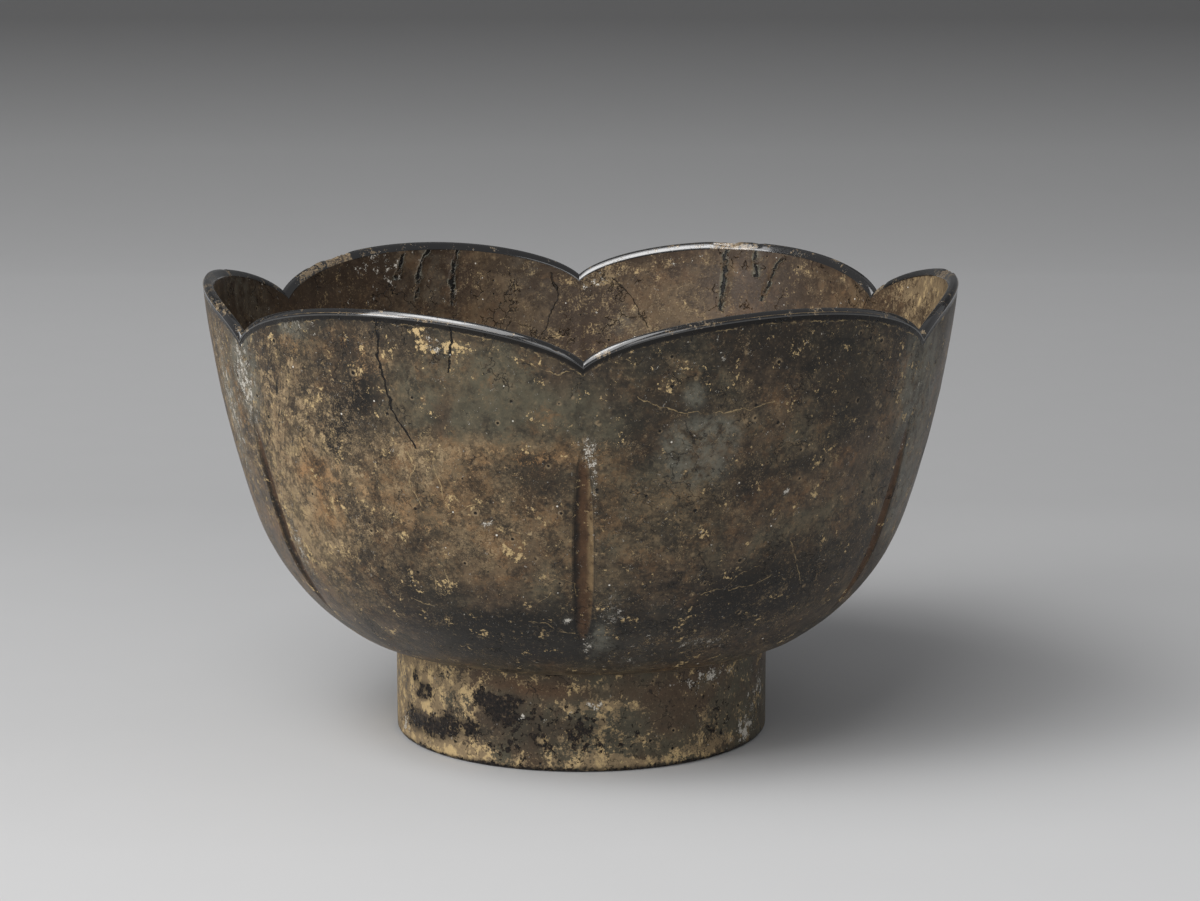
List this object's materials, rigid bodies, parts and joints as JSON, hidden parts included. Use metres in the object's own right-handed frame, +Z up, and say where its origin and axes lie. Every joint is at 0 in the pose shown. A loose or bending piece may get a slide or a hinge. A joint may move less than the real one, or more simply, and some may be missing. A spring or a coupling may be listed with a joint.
{
  "type": "lobed bowl",
  "caption": "Deep lacquered wood bowl with a scalloped, lobed rim, a sunken channel below each notch and a tall foot ring.",
  "frame": {"origin": "centre of the foot ring's resting face", "axes": "+Z up along the bowl's axis; one notch of the rim faces -Y"},
  "size_m": [0.1726, 0.1708, 0.1066],
  "materials": {
    "core_wood": "bare, old, dry",
    "cloth": "coarse plain weave, soaked in lacquer",
    "ground": "fine matt ground of lacquer and ash",
    "outer_lacquer": "black lacquer worn to brown and tan, satin",
    "inner_lacquer": "brown-black lacquer, worn, satin",
    "rim_lacquer": "black lacquer, glossy",
    "foot_lacquer": "black lacquer worn through to tan, satin"
  },
  "bodies": {
    "root": {"wall_stave_1": "core_wood", "wall_stave_2": "core_wood", "wall_stave_3": "core_wood", "wall_stave_4": "core_wood", "wall_stave_5": "core_wood", "wall_stave_6": "core_wood", "floor_board": "core_wood", "foot_hoop": "core_wood", "seam_strip_1": "core_wood", "seam_strip_2": "core_wood", "seam_strip_3": "core_wood", "seam_strip_4": "core_wood", "seam_strip_5": "core_wood", "seam_strip_6": "core_wood", "outer_cloth": "cloth", "inner_cloth": "cloth", "rim_strip": "cloth", "outer_ground": "ground", "inner_ground": "ground", "rim_ground": "ground", "foot_ground": "ground", "base_ground": "ground", "outer_lacquer": "outer_lacquer", "inner_lacquer": "inner_lacquer", "rim_lacquer": "rim_lacquer", "foot_lacquer": "foot_lacquer", "base_lacquer": "foot_lacquer"}
  },
  "joints": []
}
